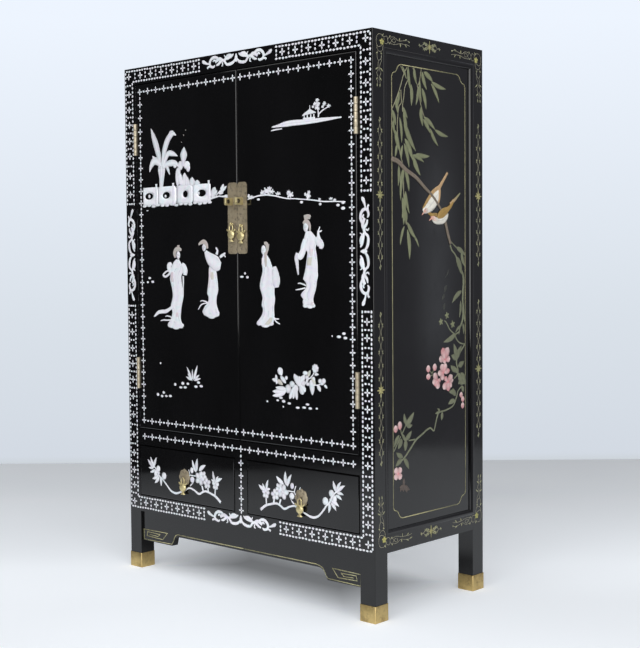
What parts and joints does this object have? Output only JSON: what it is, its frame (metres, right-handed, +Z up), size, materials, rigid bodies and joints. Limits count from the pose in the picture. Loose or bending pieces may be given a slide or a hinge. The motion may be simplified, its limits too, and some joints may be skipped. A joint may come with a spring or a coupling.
{
  "type": "cabinet on stand",
  "caption": "Tall black-lacquered cupboard with paired doors above drawers, on square legs with brass feet, inlaid front and hanging brass pulls.",
  "frame": {"origin": "on the floor, under the middle of the object's box: midway across the front, and midway from the tips of the lock lugs to the rear foot caps", "axes": "+X to the right seen from the front, +Y from the front to the back, +Z up"},
  "size_m": [0.7908, 0.412, 1.22],
  "materials": {
    "black_lacquer": "gloss",
    "inner_lacquer": "satin",
    "bare_wood": "matte",
    "foot_brass": "satin",
    "aged_brass": "matte",
    "bright_brass": "gloss",
    "hinge_brass": "satin",
    "mother_of_pearl": "gloss",
    "gold_line": "satin",
    "painted_relief": "satin"
  },
  "bodies": {
    "carcass": {"leg_front_left": "black_lacquer", "leg_front_right": "black_lacquer", "leg_back_left": "black_lacquer", "leg_back_right": "black_lacquer", "foot_cap_front_left": "foot_brass", "foot_cap_front_right": "foot_brass", "foot_cap_back_left": "foot_brass", "foot_cap_back_right": "foot_brass", "top_rail_front": "black_lacquer", "mid_rail_front": "black_lacquer", "bottom_rail_front": "black_lacquer", "drawer_muntin": "black_lacquer", "front_apron": "black_lacquer", "side_top_rail_left": "black_lacquer", "side_top_rail_right": "black_lacquer", "side_bottom_rail_left": "black_lacquer", "side_bottom_rail_right": "black_lacquer", "back_top_rail": "black_lacquer", "back_bottom_rail": "black_lacquer", "side_panel_left": "black_lacquer", "side_panel_right": "black_lacquer", "top_panel": "black_lacquer", "floor_board": "inner_lacquer", "dust_board": "inner_lacquer", "shelf": "inner_lacquer", "back_panel": "inner_lacquer", "drawer_guide": "bare_wood", "hinge_upper_left_frame_leaf": "hinge_brass", "hinge_lower_left_frame_leaf": "hinge_brass", "hinge_upper_right_frame_leaf": "hinge_brass", "hinge_lower_right_frame_leaf": "hinge_brass"},
    "door_left": {"door_left": "black_lacquer", "lock_plate_left": "aged_brass", "lock_lug_left": "bright_brass", "door_pull_eye_left": "bright_brass", "hinge_upper_left_door_leaf": "hinge_brass", "hinge_lower_left_door_leaf": "hinge_brass"},
    "door_right": {"door_right": "black_lacquer", "lock_plate_right": "aged_brass", "lock_lug_right": "bright_brass", "door_pull_eye_right": "bright_brass", "hinge_upper_right_door_leaf": "hinge_brass", "hinge_lower_right_door_leaf": "hinge_brass"},
    "door_pull_left": {"door_pull_drop_left": "bright_brass"},
    "door_pull_right": {"door_pull_drop_right": "bright_brass"},
    "drawer_left": {"drawer_left_front": "black_lacquer", "drawer_left_side_left": "bare_wood", "drawer_left_side_right": "bare_wood", "drawer_left_back": "bare_wood", "drawer_left_bottom": "bare_wood", "drawer_left_pull_plate": "aged_brass"},
    "drawer_right": {"drawer_right_front": "black_lacquer", "drawer_right_side_left": "bare_wood", "drawer_right_side_right": "bare_wood", "drawer_right_back": "bare_wood", "drawer_right_bottom": "bare_wood", "drawer_right_pull_plate": "aged_brass"},
    "drawer_pull_left": {"drawer_left_pull_drop": "bright_brass"},
    "drawer_pull_right": {"drawer_right_pull_drop": "bright_brass"}
  },
  "joints": [
    {"name": "door_left_hinge", "type": "hinge", "parent": "carcass", "child": "door_left", "pos_m": [-0.3515, -0.1838, 0.7625], "axis": [0, 0, -1], "range_deg": [0, 170]},
    {"name": "door_right_hinge", "type": "hinge", "parent": "carcass", "child": "door_right", "pos_m": [0.3515, -0.1838, 0.7625], "axis": [0, 0, 1], "range_deg": [0, 170]},
    {"name": "drawer_left_slide", "type": "slide", "parent": "carcass", "child": "drawer_left", "axis": [0, -1, 0], "range_m": [0, 0.26]},
    {"name": "drawer_right_slide", "type": "slide", "parent": "carcass", "child": "drawer_right", "axis": [0, -1, 0], "range_m": [0, 0.26]},
    {"name": "door_pull_left_swing", "type": "hinge", "parent": "door_left", "child": "door_pull_left", "pos_m": [-0.0155, -0.18865, 0.835], "axis": [-1, 0, 0], "range_deg": [0, 100]},
    {"name": "door_pull_right_swing", "type": "hinge", "parent": "door_right", "child": "door_pull_right", "pos_m": [0.0155, -0.18865, 0.831], "axis": [-1, 0, 0], "range_deg": [0, 100]},
    {"name": "drawer_pull_left_swing", "type": "hinge", "parent": "drawer_left", "child": "drawer_pull_left", "pos_m": [-0.1904, -0.18755, 0.2415], "axis": [-1, 0, 0], "range_deg": [0, 100]},
    {"name": "drawer_pull_right_swing", "type": "hinge", "parent": "drawer_right", "child": "drawer_pull_right", "pos_m": [0.1885, -0.18755, 0.238], "axis": [-1, 0, 0], "range_deg": [0, 100]}
  ]
}
